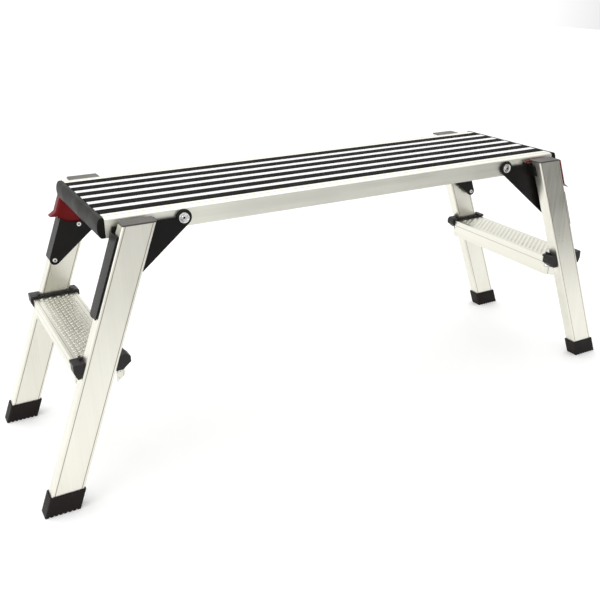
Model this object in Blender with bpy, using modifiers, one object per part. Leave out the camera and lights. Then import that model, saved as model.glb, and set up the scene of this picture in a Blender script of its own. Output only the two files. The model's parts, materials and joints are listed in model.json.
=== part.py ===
"""Folding work platform bench: an aluminium deck on two hinged leg frames.

Metres, +Z up. The origin is on the ground under the middle of the deck, +X runs along the
deck and +Y to its rear long side. Each leg frame folds about an axis along Y through its two
pivot bolts. Leg pieces are first modelled for one corner, in that corner's own coordinates:
X outwards from the pivot, Y outwards from the middle of the deck, Z up from the pivot. They
are then leaned, toed out and mirrored to the corner where they belong.
"""

import math

import bmesh
import bpy
from mathutils import Matrix, Vector

# Overall sizes
DECK_HEIGHT = 0.500
DECK_LENGTH = 0.989
DECK_WIDTH = 0.287

# Deck extrusions
RAIL_HEIGHT = 0.0345
RAIL_WIDTH = 0.0250
RAIL_WALL = 0.0020
RAIL_GROOVE_INSET = 0.0115
RAIL_GROOVE_WIDTH = 0.0009
RAIL_GROOVE_DEPTH = 0.0007
RAIL_SHOULDER = 0.0048
RAIL_LEDGE = 0.0180
LEDGE_DEPTH = 0.0085
PANEL_THICKNESS = 0.0025
RIB_GAP = 0.0003
STRIP_COUNT = 6
STRIP_EDGE = 0.0017
STRIP_WIDTH = 0.0236
STRIP_HEIGHT = 0.0038
STRIP_PROUD = 0.0006
STRIP_GROOVES = 5
END_CAP_THICKNESS = 0.0128
END_CAP_LIP = 0.0055
END_CAP_PLUG = 0.0150

# Pivots
PIVOT_INSET = 0.1340
PIVOT_DROP = 0.0172
BOLT_RADIUS = 0.0040
BOLT_HEAD_RADIUS = 0.0098
BOLT_HEAD_HEIGHT = 0.0032
NUT_ACROSS_FLATS = 0.0130
NUT_HEIGHT = 0.0062
BOSS_HEIGHT = 0.0022
EYE_RADIUS = 0.0145

# Legs
LEG_SPLAY = math.radians(20.5)
LEG_TOE = 0.0165
LEG_OFFSET = 0.0863
LEG_WIDTH = 0.0530
LEG_DEPTH = 0.0260
LEG_WALL = 0.0018
LEG_CORNER = 0.0024
LEG_BEAD = 0.0050
LEG_BEAD_WIDTH = 0.0008
LEG_BEAD_DEPTH = 0.0005
LEG_GAP = 0.0150
LEG_TOP_DROP = 0.0043
LEG_CAP_PLATE = 0.0026
LEG_CAP_RIM = 0.0006
LEG_CAP_PLUG = 0.0140
FOOT_HEIGHT = 0.0370
FOOT_WALL = 0.0022
FOOT_SOLE = 0.0060
FOOT_NOTCHES = 7
FOOT_NOTCH_DEPTH = 0.0020

# Hinge brackets
SHEET = 0.0025
WEB_GAP = 0.0030
WEB_TOP = 0.0020
RIVET_UPPER_GAP = 0.0048
RIVET_UPPER_INSET = 0.0344
RIVET_LOWER_HEIGHT = -0.1416
RIVET_LOWER_INSET = 0.0067
RIVET_RADIUS = 0.0024
RIVET_HEAD_RADIUS = 0.0048
RIVET_HEAD_HEIGHT = 0.0012
RIVET_BORE_RADIUS = 0.0017
END_RADIUS = 0.0098
FLANGE_GAP = 0.0013
FLANGE_WIDTH = 0.0340
FLANGE_TOP = -0.0060
FLANGE_LEVER_GAP = 0.0021
FLANGE_BOTTOM = -0.1400
TAB_TOP = 0.0008
TAB_BOTTOM = -0.0220
TAB_WIDTH = 0.0220

# Locking lever, its pin and the stop pins on the rails
LEVER_PIVOT_HEIGHT = -0.0205
LEVER_PIVOT_INSET = 0.0104
LEVER_SHEET = 0.0020
LEVER_GAP = 0.0025
LEVER_HEEL = 0.0154
LEVER_SHOWING = 0.0010
LEVER_WINDOW_INSET = 0.0140
LEVER_PIN_RADIUS = 0.0030
HANDLE_GAP = 0.0070
HANDLE_WIDTH = 0.0220
HANDLE_TOP = 0.0075
HANDLE_BOTTOM = -0.0475
HANDLE_FLARE = 0.0080
HANDLE_LIP = 0.0080
BEND_RADIUS = 0.0060
BEND_STEPS = 5
STOP_REACH = 0.0520
STOP_RADIUS = 0.0022
ARM_THICKNESS = 0.0035
LEVER_INSET = 0.0085
SPRING_RADIUS = 0.0052
SPRING_WIRE = 0.0005
SPRING_TURNS = 3

# Steps
STEP_DROP = 0.2350
STEP_INNER_REACH = 0.0143
STEP_OUTER_REACH = 0.0141
STEP_SHEET = 0.0022
STEP_INNER_FLANGE = 0.0410
STEP_OUTER_FLANGE = 0.0295
STEP_TAB_LENGTH = 0.0140
STEP_EAR_RISE = 0.0185
STEP_EAR_START = 0.0030
STEP_LINE_DROP = 0.0130
STEP_LINE_DEPTH = 0.0006
COLLAR_HEIGHT = 0.0055
COLLAR_DROP = 0.0215
COLLAR_BAR = 0.0060
COLLAR_ARM = 0.0210
COLLAR_INNER_REACH = 0.0070
COLLAR_OUTER_REACH = 0.0050
COLLAR_SIDE = 0.0150
COLLAR_TOE = 0.0050
NUB_WIDTH = 0.0042
NUB_RISE = 0.0035

# Clearances
FIT = 0.0003
RUNNING = 0.0005

ROUND_STEPS = 24
SMALL_STEPS = 16


def leg_x(across, height):
    """Outward place of a point across the leg, at a height from the pivot."""
    return (across - height * math.sin(LEG_SPLAY)) / math.cos(LEG_SPLAY)


# Derived places
HALF_WIDTH = DECK_WIDTH / 2
HALF_LENGTH = DECK_LENGTH / 2
RAIL_INNER = HALF_WIDTH - RAIL_WIDTH
RAIL_BOTTOM = DECK_HEIGHT - RAIL_HEIGHT
PIVOT_X = HALF_LENGTH - PIVOT_INSET
PIVOT_Z = DECK_HEIGHT - PIVOT_DROP
WEB_INNER = HALF_WIDTH + WEB_GAP
WEB_OUTER = WEB_INNER + SHEET
LEG_INNER = HALF_WIDTH + LEG_GAP
LEG_OUTER = LEG_INNER + LEG_DEPTH
LEG_NEAR = LEG_OFFSET - LEG_WIDTH / 2
LEG_FAR = LEG_OFFSET + LEG_WIDTH / 2
LEG_TOP = PIVOT_DROP - LEG_TOP_DROP
GROUND = -PIVOT_Z
STEP_TOP = PIVOT_DROP - STEP_DROP
STEP_INNER = leg_x(LEG_NEAR, STEP_TOP) - STEP_INNER_REACH
STEP_OUTER = leg_x(LEG_FAR, STEP_TOP) + STEP_OUTER_REACH
STRIP_PITCH = (2 * (RAIL_INNER - STRIP_EDGE) - STRIP_WIDTH) / (STRIP_COUNT - 1)
LEVER_PIVOT = (leg_x(LEG_FAR - LEVER_PIVOT_INSET, LEVER_PIVOT_HEIGHT), LEVER_PIVOT_HEIGHT)
LEVER_RADIUS = LEG_WIDTH - LEVER_INSET - LEVER_PIVOT_INSET + LEVER_HEEL
LEVER_WINDOW_RADIUS = LEVER_RADIUS - LEVER_SHOWING
RIVET_UPPER_HEIGHT = LEVER_PIVOT_HEIGHT - LEVER_RADIUS - RIVET_UPPER_GAP
RIVET_UPPER = (leg_x(LEG_FAR - RIVET_UPPER_INSET, RIVET_UPPER_HEIGHT), RIVET_UPPER_HEIGHT)
RIVET_LOWER = (leg_x(LEG_FAR - RIVET_LOWER_INSET, RIVET_LOWER_HEIGHT), RIVET_LOWER_HEIGHT)
LEVER_INNER = WEB_OUTER + LEVER_GAP
LEVER_OUTER = LEVER_INNER + LEVER_SHEET
STOP_Z = WEB_TOP + FIT + STOP_RADIUS
BEND_START = LEG_FAR + FLANGE_GAP + SHEET + HANDLE_GAP + LEVER_SHEET - BEND_RADIUS
BEND_LENGTH = (BEND_RADIUS - LEVER_SHEET / 2) * math.pi / 2

COLOURS = {
    "aluminium": ((0.78, 0.78, 0.74, 1.0), 0.35, 1.0),
    "steel": ((0.70, 0.70, 0.70, 1.0), 0.25, 1.0),
    "black_steel": ((0.02, 0.02, 0.02, 1.0), 0.45, 0.0),
    "black_plastic": ((0.03, 0.03, 0.03, 1.0), 0.5, 0.0),
    "grey_plastic": ((0.12, 0.12, 0.11, 1.0), 0.45, 0.0),
    "rubber": ((0.02, 0.015, 0.015, 1.0), 0.7, 0.0),
    "red_lever": ((0.35, 0.01, 0.01, 1.0), 0.35, 0.0),
}

# Curve plane to world: outlines drawn across Y and Z run along X, outlines drawn across X
# and Z run along Y, outlines drawn across X and Y run along Z.
ALONG_X = Matrix(((0, 0, 1, 0), (1, 0, 0, 0), (0, 1, 0, 0), (0, 0, 0, 1)))
ALONG_Y = Matrix.Rotation(math.radians(90), 4, "X")
ALONG_Z = Matrix.Identity(4)
OUT_ALONG_Y = Matrix.Rotation(math.radians(-90), 4, "X")


def clear_scene():
    """Removes every object and makes the two collections."""
    for item in list(bpy.data.objects):
        bpy.data.objects.remove(item, do_unlink=True)
    made = []
    for name in ("work_platform_bench", "cutters"):
        group = bpy.data.collections.new(name)
        bpy.context.scene.collection.children.link(group)
        made.append(group)
    return made


PARTS, CUTTERS = clear_scene()
MATERIALS = {}


def material(name):
    """The Principled BSDF material of a colour name."""
    if name not in MATERIALS:
        colour, roughness, metallic = COLOURS[name]
        made = bpy.data.materials.new(name)
        made.use_nodes = True
        shader = made.node_tree.nodes["Principled BSDF"]
        shader.inputs["Base Color"].default_value = colour
        shader.inputs["Roughness"].default_value = roughness
        shader.inputs["Metallic"].default_value = metallic
        MATERIALS[name] = made
    return MATERIALS[name]


def empty(name, place, parent=None):
    """An empty on a joint's axis, at a world place."""
    made = bpy.data.objects.new(name, None)
    made.empty_display_size = 0.03
    PARTS.objects.link(made)
    made.location = place
    if parent:
        made.parent = parent
        made.location = [a - b for a, b in zip(place, parent.location)]
    return made


def new_object(name, mesh, finish=None):
    """A mesh object in the parts collection, or a cutter where it has no finish."""
    made = bpy.data.objects.new(name, mesh)
    if finish:
        PARTS.objects.link(made)
        mesh.materials.clear()
        mesh.materials.append(material(finish))
    else:
        CUTTERS.objects.link(made)
        made.hide_render = True
        made.display_type = "WIRE"
    return made


def arc(centre, radius, start, end, steps):
    """Points of a circular arc, angles in degrees, both ends included."""
    angles = [math.radians(start + (end - start) * i / steps) for i in range(steps + 1)]
    return [(centre[0] + radius * math.cos(a), centre[1] + radius * math.sin(a)) for a in angles]


def rounded_box(low, high, radius, steps=3):
    """Corner-rounded rectangle outline, counter-clockwise."""
    corners = ((high[0], high[1], 0), (low[0], high[1], 90), (low[0], low[1], 180),
               (high[0], low[1], 270))
    points = []
    for x, y, start in corners:
        centre = (x - radius if x == high[0] else x + radius,
                  y - radius if y == high[1] else y + radius)
        points += arc(centre, radius, start, start + 90, steps)
    return points


def rectangle(low, high):
    """Square-cornered rectangle outline."""
    return [(low[0], low[1]), (high[0], low[1]), (high[0], high[1]), (low[0], high[1])]


def outline_object(name, outlines, start, end, turn, finish=None):
    """Extrudes flat outlines, the first outside and the rest holes, from start to end."""
    curve = bpy.data.curves.new(name + "_outline", "CURVE")
    curve.dimensions = "2D"
    curve.fill_mode = "BOTH"
    curve.extrude = abs(end - start) / 2
    for points in outlines:
        spline = curve.splines.new("POLY")
        spline.points.add(len(points) - 1)
        for point, (x, y) in zip(spline.points, points):
            point.co = (x, y, 0, 1)
        spline.use_cyclic_u = True
    holder = bpy.data.objects.new(name + "_outline", curve)
    CUTTERS.objects.link(holder)
    graph = bpy.context.evaluated_depsgraph_get()
    mesh = bpy.data.meshes.new_from_object(holder.evaluated_get(graph))
    mesh.name = name
    bpy.data.objects.remove(holder, do_unlink=True)
    shape = bmesh.new()
    shape.from_mesh(mesh)
    bmesh.ops.remove_doubles(shape, verts=shape.verts, dist=0.00001)
    middle = (start + end) / 2
    along = -middle if turn == ALONG_Y else middle
    bmesh.ops.translate(shape, verts=shape.verts, vec=(0, 0, along))
    bmesh.ops.transform(shape, matrix=turn, verts=shape.verts)
    bmesh.ops.recalc_face_normals(shape, faces=shape.faces)
    shape.to_mesh(mesh)
    shape.free()
    return new_object(name, mesh, finish)


def box(name, low, high, finish=None):
    """A box between two corners."""
    shape = bmesh.new()
    bmesh.ops.create_cube(shape, size=1)
    size = [h - l for l, h in zip(low, high)]
    centre = [(h + l) / 2 for l, h in zip(low, high)]
    bmesh.ops.scale(shape, vec=size, verts=shape.verts)
    bmesh.ops.translate(shape, vec=centre, verts=shape.verts)
    mesh = bpy.data.meshes.new(name)
    shape.to_mesh(mesh)
    shape.free()
    return new_object(name, mesh, finish)


def cylinder(name, radius, place, start, end, finish=None, steps=ROUND_STEPS):
    """A cylinder along Y at an X and Z place."""
    shape = bmesh.new()
    bmesh.ops.create_cone(shape, cap_ends=True, segments=steps, radius1=radius,
                          radius2=radius, depth=end - start)
    phase = Matrix.Rotation(math.pi / steps * 0.7, 4, "Z")
    bmesh.ops.transform(shape, matrix=phase, verts=shape.verts)
    bmesh.ops.transform(shape, matrix=OUT_ALONG_Y, verts=shape.verts)
    bmesh.ops.translate(shape, vec=(place[0], (start + end) / 2, place[1]), verts=shape.verts)
    mesh = bpy.data.meshes.new(name)
    shape.to_mesh(mesh)
    shape.free()
    return new_object(name, mesh, finish)


def turned(name, profile, place, finish, steps=ROUND_STEPS):
    """A turned piece along Y: profile points are (radius, y), from its outer end inwards."""
    mesh = bpy.data.meshes.new(name)
    points = [(radius, 0, height) for radius, height in profile]
    mesh.from_pydata(points, [(i, i + 1) for i in range(len(points) - 1)], [])
    made = new_object(name, mesh, finish)
    screw = made.modifiers.new("turn", "SCREW")
    screw.axis = "Z"
    screw.steps = steps
    screw.render_steps = steps
    screw.use_merge_vertices = True
    screw.merge_threshold = 0.00001
    bake(made)
    mesh = made.data
    mesh.transform(OUT_ALONG_Y)
    mesh.transform(Matrix.Translation((place[0], 0, place[1])))
    smooth(made)
    return made


def bake(made):
    """Replaces an object's mesh with its evaluated mesh."""
    graph = bpy.context.evaluated_depsgraph_get()
    mesh = bpy.data.meshes.new_from_object(made.evaluated_get(graph))
    made.modifiers.clear()
    made.data = mesh


def weld(mesh):
    """Closes the hairline gaps and slivers that a Boolean can leave."""
    shape = bmesh.new()
    shape.from_mesh(mesh)
    bmesh.ops.remove_doubles(shape, verts=shape.verts, dist=0.00001)
    bmesh.ops.dissolve_degenerate(shape, edges=shape.edges, dist=0.00001)
    shape.to_mesh(mesh)
    shape.free()


def smooth(made):
    """Smooth shading with sharp edges kept."""
    made.data.shade_smooth()
    made.data.set_sharp_from_angle(angle=math.radians(35))


def combine(made, operation, *others):
    """Boolean joins or cuts, applied one after the other."""
    for other in others:
        step = made.modifiers.new("shape", "BOOLEAN")
        step.operation = operation
        step.solver = "EXACT"
        step.object = other
        bake(made)
        weld(made.data)
        bpy.data.objects.remove(other, do_unlink=True)
    return made


def lean(made):
    """Leans a piece drawn upright so that it follows the splayed leg; level cuts stay level."""
    for vertex in made.data.vertices:
        across, height = vertex.co.x, vertex.co.z
        vertex.co.x = (across - height * math.sin(LEG_SPLAY)) / math.cos(LEG_SPLAY)
    return made


def corner_name(name, side, row):
    """Node name with the corner's words."""
    return f"{name}_{'left' if side < 0 else 'right'}_{'front' if row < 0 else 'rear'}"


def to_corner(made, side, row, parent):
    """Toes a leg piece out, mirrors it to its corner and hangs it on its joint's empty."""
    for vertex in made.data.vertices:
        toed = vertex.co.y - LEG_TOE * vertex.co.z
        vertex.co = (side * vertex.co.x, row * toed, vertex.co.z)
    if side * row < 0:
        made.data.flip_normals()
    made.parent = parent
    if parent.parent:
        shift = parent.location
        made.data.transform(Matrix.Translation([-value for value in shift]))
    return made


def rail(row):
    """Hollow side rail with a flat top band, a fine groove, a shoulder and a deck ledge."""
    out = HALF_WIDTH
    groove = out - RAIL_GROOVE_INSET
    ledge = DECK_HEIGHT - LEDGE_DEPTH
    shoulder = [(groove + RAIL_GROOVE_WIDTH + (out - groove - RAIL_GROOVE_WIDTH) * math.sin(a),
                 DECK_HEIGHT - RAIL_SHOULDER * (1 - math.cos(a)))
                for a in [math.radians(15 * i) for i in range(0, 7)]]
    outer = [(RAIL_INNER, RAIL_BOTTOM), (out, RAIL_BOTTOM)] + shoulder[::-1]
    outer += [(groove + RAIL_GROOVE_WIDTH, DECK_HEIGHT - RAIL_GROOVE_DEPTH),
              (groove, DECK_HEIGHT - RAIL_GROOVE_DEPTH), (groove, DECK_HEIGHT),
              (RAIL_INNER, DECK_HEIGHT), (RAIL_INNER, ledge),
              (RAIL_INNER - RAIL_LEDGE, ledge), (RAIL_INNER - RAIL_LEDGE, ledge - RAIL_WALL),
              (RAIL_INNER, ledge - RAIL_WALL)]
    inner = rectangle((RAIL_INNER + RAIL_WALL, RAIL_BOTTOM + RAIL_WALL),
                      (out - RAIL_WALL, DECK_HEIGHT - RAIL_SHOULDER - RAIL_WALL / 2))
    outlines = [[(row * y, z) for y, z in points] for points in (outer, inner)]
    name = "side_rail_front" if row < 0 else "side_rail_rear"
    made = outline_object(name, outlines, -HALF_LENGTH, HALF_LENGTH, ALONG_X, "aluminium")
    for side in (-1, 1):
        for place, radius in ((PIVOT_X, BOLT_RADIUS), (PIVOT_X + STOP_REACH, STOP_RADIUS)):
            height = PIVOT_Z if radius == BOLT_RADIUS else PIVOT_Z + STOP_Z
            start, end = sorted((row * (RAIL_INNER - RAIL_WALL), row * (HALF_WIDTH + RAIL_WALL)))
            if radius == STOP_RADIUS:
                start, end = sorted((row * (HALF_WIDTH - 2 * RAIL_WALL),
                                     row * (HALF_WIDTH + RAIL_WALL)))
            combine(made, "DIFFERENCE",
                    cylinder("hole", radius + FIT, (side * place, height), start, end,
                             steps=SMALL_STEPS))
    return made


def strip_places():
    """Middles of the grip strips across the deck."""
    first = -(STRIP_COUNT - 1) / 2 * STRIP_PITCH
    return [first + STRIP_PITCH * i for i in range(STRIP_COUNT)]


def deck_panel():
    """Ribbed panel between the rails, with a channel for each grip strip."""
    edge = RAIL_INNER - FIT
    base = DECK_HEIGHT - LEDGE_DEPTH + FIT
    floor = base + PANEL_THICKNESS
    points = [(edge, base), (edge, floor)]
    middles = strip_places()
    for left, right in zip(middles[:-1][::-1], middles[1:][::-1]):
        high = right - STRIP_WIDTH / 2 - RIB_GAP
        low = left + STRIP_WIDTH / 2 + RIB_GAP
        points += [(high, floor), (high, DECK_HEIGHT), (low, DECK_HEIGHT), (low, floor)]
    points += [(-edge, floor), (-edge, base)]
    return outline_object("deck_panel", [points], -HALF_LENGTH, HALF_LENGTH, ALONG_X,
                          "aluminium")


def grip_strip(index, middle):
    """Grip strip with shallow grooves along its top."""
    top = DECK_HEIGHT + STRIP_PROUD
    bottom = DECK_HEIGHT - LEDGE_DEPTH + 2 * FIT + PANEL_THICKNESS
    pitch = STRIP_WIDTH / (STRIP_GROOVES + 1)
    points = [(middle - STRIP_WIDTH / 2, bottom), (middle + STRIP_WIDTH / 2, bottom)]
    points += [(middle + STRIP_WIDTH / 2, top - STRIP_PROUD)]
    points += [(middle + STRIP_WIDTH / 2 - STRIP_PROUD, top)]
    for i in range(STRIP_GROOVES):
        groove = middle + STRIP_WIDTH / 2 - pitch * (i + 1)
        points += [(groove + pitch / 6, top), (groove, top - STRIP_PROUD * 0.8),
                   (groove - pitch / 6, top)]
    points += [(middle - STRIP_WIDTH / 2 + STRIP_PROUD, top)]
    points += [(middle - STRIP_WIDTH / 2, top - STRIP_PROUD)]
    return outline_object(f"grip_strip_{index}", [points], -HALF_LENGTH, HALF_LENGTH, ALONG_X,
                          "rubber")


def end_cap(side):
    """Moulded cap with a bulging face over the whole end of the deck, plugged into the rails."""
    face = HALF_LENGTH + FIT
    lip = face + END_CAP_LIP
    bulge = END_CAP_THICKNESS - END_CAP_LIP
    half = RAIL_HEIGHT / 2
    turns = [math.radians(15 * i) for i in range(-6, 7)]
    profile = [(lip + bulge * math.cos(a), RAIL_BOTTOM + half + half * math.sin(a))
               for a in turns]
    profile += [(face, DECK_HEIGHT), (face, RAIL_BOTTOM)]
    name = "end_cap_left" if side < 0 else "end_cap_right"
    outline = [(side * x, z) for x, z in profile]
    made = outline_object(name, [outline], -HALF_WIDTH, HALF_WIDTH, ALONG_Y, "black_plastic")
    play = RAIL_WALL + FIT
    for row in (-1, 1):
        low_x, high_x = sorted((side * (HALF_LENGTH - END_CAP_PLUG), side * lip))
        low_y, high_y = sorted((row * (RAIL_INNER + play), row * (HALF_WIDTH - play)))
        plug = box("plug", (low_x, low_y, RAIL_BOTTOM + play),
                   (high_x, high_y, DECK_HEIGHT - RAIL_SHOULDER - play))
        combine(made, "UNION", plug)
    return made


def pivot_bolt(side, row):
    """Pan-headed pivot bolt through the bracket eye and the rail."""
    under = WEB_OUTER + RUNNING
    head = under + BOLT_HEAD_HEIGHT
    tail = RAIL_INNER - RUNNING - NUT_HEIGHT - FIT
    recess = BOLT_HEAD_HEIGHT * 0.6
    profile = [(0, head - recess), (BOLT_RADIUS * 0.55, head - recess),
               (BOLT_RADIUS * 0.75, head), (BOLT_HEAD_RADIUS * 0.82, head),
               (BOLT_HEAD_RADIUS, head - BOLT_HEAD_HEIGHT / 2), (BOLT_HEAD_RADIUS, under),
               (BOLT_RADIUS, under), (BOLT_RADIUS, tail), (0, tail)]
    made = turned(corner_name("pivot_bolt", side, row), profile, (0, 0), "steel")
    if row < 0:
        made.data.transform(Matrix.Rotation(math.pi, 4, "Z"))
    made.location = (side * PIVOT_X, 0, PIVOT_Z)
    return made


def pivot_nut(side, row):
    """Hexagon nut on the pivot bolt, against the rail's inner wall."""
    corner = NUT_ACROSS_FLATS / 2 / math.cos(math.radians(30))
    hexagon = arc((0, 0), corner, 0, 300, 5)
    hole = arc((0, 0), BOLT_RADIUS + FIT, 0, 360 * (1 - 1 / SMALL_STEPS), SMALL_STEPS - 1)
    high = row * (RAIL_INNER - RUNNING)
    low = high - row * NUT_HEIGHT
    made = outline_object(corner_name("pivot_nut", side, row), [hexagon, hole], low, high,
                          ALONG_Y, "steel")
    made.location = (side * PIVOT_X, 0, PIVOT_Z)
    return made


def stop_pin(side, row):
    """Pin in the rail above the bracket: stops the frame and takes the lever's nose."""
    inner = HALF_WIDTH - RAIL_WALL - FIT
    profile = [(0, LEVER_OUTER + RUNNING), (STOP_RADIUS, LEVER_OUTER + RUNNING),
               (STOP_RADIUS, inner), (STOP_RADIUS * 1.6, inner),
               (STOP_RADIUS * 1.6, inner - RAIL_WALL), (0, inner - RAIL_WALL)]
    made = turned(corner_name("stop_pin", side, row), profile, (0, 0), "black_steel", SMALL_STEPS)
    if row < 0:
        made.data.transform(Matrix.Rotation(math.pi, 4, "Z"))
    made.location = (side * (PIVOT_X + STOP_REACH), 0, PIVOT_Z + STOP_Z)
    return made


def leg_section(inset):
    """Leg section outline across and through the leg, with two fine lines on each wide face."""
    low = (LEG_NEAR, LEG_INNER)
    high = (LEG_FAR, LEG_OUTER)
    corners = rounded_box(low, high, LEG_CORNER)
    if inset:
        return rectangle((low[0] + inset, low[1] + inset), (high[0] - inset, high[1] - inset))
    points = []
    quarter = len(corners) // 4
    lines = (LEG_FAR - LEG_BEAD, LEG_NEAR + LEG_BEAD)
    points += corners[:quarter]
    points += groove_points(lines, LEG_OUTER, -1)
    points += corners[quarter:3 * quarter]
    points += groove_points(lines[::-1], LEG_INNER, 1)
    points += corners[3 * quarter:]
    return points


def groove_points(places, face, inward):
    """Two fine grooves in a wide face, in the order that the outline passes them."""
    turn = 1 if places[0] < places[1] else -1
    half = LEG_BEAD_WIDTH / 2
    points = []
    for place in places:
        points += [(place - turn * half, face), (place, face + inward * LEG_BEAD_DEPTH),
                   (place + turn * half, face)]
    return points


def leg(side, row, parent, lever):
    """Leg tube, cut level at both ends, with holes for its rivets."""
    top = LEG_TOP - LEG_CAP_PLATE - FIT
    bottom = GROUND + FOOT_SOLE + FIT
    made = outline_object(corner_name("leg", side, row), [leg_section(0), leg_section(LEG_WALL)],
                          bottom, top, ALONG_Z, "aluminium")
    lean(made)
    holes = [(RIVET_UPPER, RIVET_RADIUS), (RIVET_LOWER, RIVET_RADIUS)]
    if lever:
        holes.append((LEVER_PIVOT, LEVER_PIN_RADIUS))
    for place, radius in holes:
        combine(made, "DIFFERENCE", cylinder("hole", radius + FIT, place, LEG_INNER - LEG_WALL,
                                             LEG_INNER + 2 * LEG_WALL, steps=SMALL_STEPS))
    return to_corner(made, side, row, parent)


def leg_cap(side, row, parent):
    """Plastic cap on the leg's top that laps over the bracket, with a plug in the tube."""
    base = LEG_TOP - LEG_CAP_PLATE
    play = LEG_WALL + FIT
    name = corner_name("leg_cap", side, row)
    plate = rounded_box((LEG_NEAR - LEG_CAP_RIM, LEVER_OUTER + RUNNING),
                        (LEG_FAR + LEG_CAP_RIM, LEG_OUTER + LEG_CAP_RIM), LEG_CORNER)
    made = outline_object(name, [plate], base, LEG_TOP, ALONG_Z, "grey_plastic")
    plug = box("plug", (LEG_NEAR + play, LEG_INNER + play, base - LEG_CAP_PLUG),
               (LEG_FAR - play, LEG_OUTER - play, base + LEG_CAP_PLATE / 2))
    combine(made, "UNION", plug)
    lean(made)
    return to_corner(made, side, row, parent)


def foot(side, row, parent):
    """Rubber shoe around the leg's lower end, with a notched sole."""
    wall = FOOT_WALL + FIT
    low = (LEG_NEAR - wall, LEG_INNER - wall)
    high = (LEG_FAR + wall, LEG_OUTER + wall)
    made = outline_object(corner_name("foot", side, row), [rounded_box(low, high, LEG_CORNER)],
                          GROUND, GROUND + FOOT_HEIGHT, ALONG_Z, "rubber")
    pocket = outline_object("pocket", [rounded_box((LEG_NEAR - FIT, LEG_INNER - FIT),
                                                   (LEG_FAR + FIT, LEG_OUTER + FIT),
                                                   LEG_CORNER)],
                            GROUND + FOOT_SOLE, GROUND + 2 * FOOT_HEIGHT, ALONG_Z)
    combine(made, "DIFFERENCE", pocket)
    pitch = (high[0] - low[0]) / (FOOT_NOTCHES + 1)
    for i in range(FOOT_NOTCHES):
        middle = low[0] + pitch * (i + 1)
        notch = box("notch", (middle - pitch / 5, low[1] - wall, GROUND - wall),
                    (middle + pitch / 5, high[1] + wall, GROUND + FOOT_NOTCH_DEPTH))
        combine(made, "DIFFERENCE", notch)
    lean(made)
    return to_corner(made, side, row, parent)


def web_outline(lever):
    """Bracket web: an eye, a level top edge, the leg's outer line and a slanting lower edge."""
    edge = LEG_FAR + FLANGE_GAP + SHEET
    slope = math.degrees(math.atan2(RIVET_LOWER[1], RIVET_LOWER[0]))
    lower = arc(RIVET_LOWER, END_RADIUS, slope - 90, -math.degrees(LEG_SPLAY) + 20, 6)
    start = math.degrees(math.asin(WEB_TOP / EYE_RADIUS))
    eye = arc((0, 0), EYE_RADIUS, start, 270 + slope, 14)
    top_outer = (leg_x(edge, WEB_TOP), WEB_TOP)
    points = eye + lower
    if not lever:
        return points + [top_outer]
    inner = LEG_NEAR + LEVER_WINDOW_INSET
    window = arc(LEVER_PIVOT, LEVER_WINDOW_RADIUS, lever_angles(edge, LEVER_WINDOW_RADIUS)[0],
                 lever_angles(inner, LEVER_WINDOW_RADIUS)[0], 12)
    return points + window + [(leg_x(inner, WEB_TOP), WEB_TOP)]


def bracket(side, row, parent, lever):
    """Pressed hinge bracket: web with a boss at its eye, outer flange and a small inner tab."""
    name = corner_name("hinge_bracket", side, row)
    made = outline_object(name, [web_outline(lever)], WEB_INNER, WEB_OUTER, ALONG_Y,
                          "black_steel")
    edge = LEG_FAR + FLANGE_GAP
    root = WEB_INNER + SHEET / 3
    flange_top = FLANGE_TOP
    if lever:
        heel = math.radians(lever_angles(edge, LEVER_RADIUS)[0])
        flange_top = LEVER_PIVOT[1] + LEVER_RADIUS * math.sin(heel) - FLANGE_LEVER_GAP
    flange = lean(box("flange", (edge, root, FLANGE_BOTTOM),
                      (edge + SHEET - FIT, WEB_INNER + FLANGE_WIDTH, flange_top)))
    tab = lean(box("tab", (LEG_NEAR - FIT * 2 - SHEET, root, TAB_BOTTOM),
                   (LEG_NEAR - FIT * 2, WEB_INNER + TAB_WIDTH, TAB_TOP)))
    boss = cylinder("boss", EYE_RADIUS * 0.8, (0, 0), WEB_INNER - BOSS_HEIGHT,
                    WEB_INNER + SHEET / 2)
    combine(made, "UNION", flange, tab, boss)
    hole = cylinder("hole", BOLT_RADIUS + RUNNING, (0, 0), HALF_WIDTH, WEB_OUTER + SHEET)
    combine(made, "DIFFERENCE", hole)
    for place in (RIVET_UPPER, RIVET_LOWER):
        combine(made, "DIFFERENCE", cylinder("hole", RIVET_RADIUS + FIT, place,
                                             WEB_INNER - SHEET, WEB_OUTER + SHEET,
                                             steps=SMALL_STEPS))
    return to_corner(made, side, row, parent)


def bracket_rivet(level, place, side, row, parent):
    """Tubular rivet with a shouldered shank that holds the bracket off the leg."""
    head = WEB_INNER - FIT - RIVET_HEAD_HEIGHT
    inside = LEG_INNER + LEG_WALL + FIT
    shoulder = RIVET_RADIUS * 1.35
    profile = [(0, inside + RIVET_HEAD_HEIGHT), (RIVET_HEAD_RADIUS * 0.8,
                                                 inside + RIVET_HEAD_HEIGHT),
               (RIVET_HEAD_RADIUS * 0.8, inside), (RIVET_RADIUS, inside),
               (RIVET_RADIUS, LEG_INNER - FIT), (shoulder, LEG_INNER - FIT),
               (shoulder, WEB_OUTER + FIT), (RIVET_RADIUS, WEB_OUTER + FIT),
               (RIVET_RADIUS, WEB_INNER - FIT), (RIVET_HEAD_RADIUS, WEB_INNER - FIT),
               (RIVET_HEAD_RADIUS * 0.85, head), (RIVET_BORE_RADIUS, head),
               (RIVET_BORE_RADIUS, WEB_OUTER), (0, WEB_OUTER)]
    made = turned(corner_name(f"rivet_{level}", side, row), profile, place, "steel",
                  SMALL_STEPS)
    return to_corner(made, side, row, parent)


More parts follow.
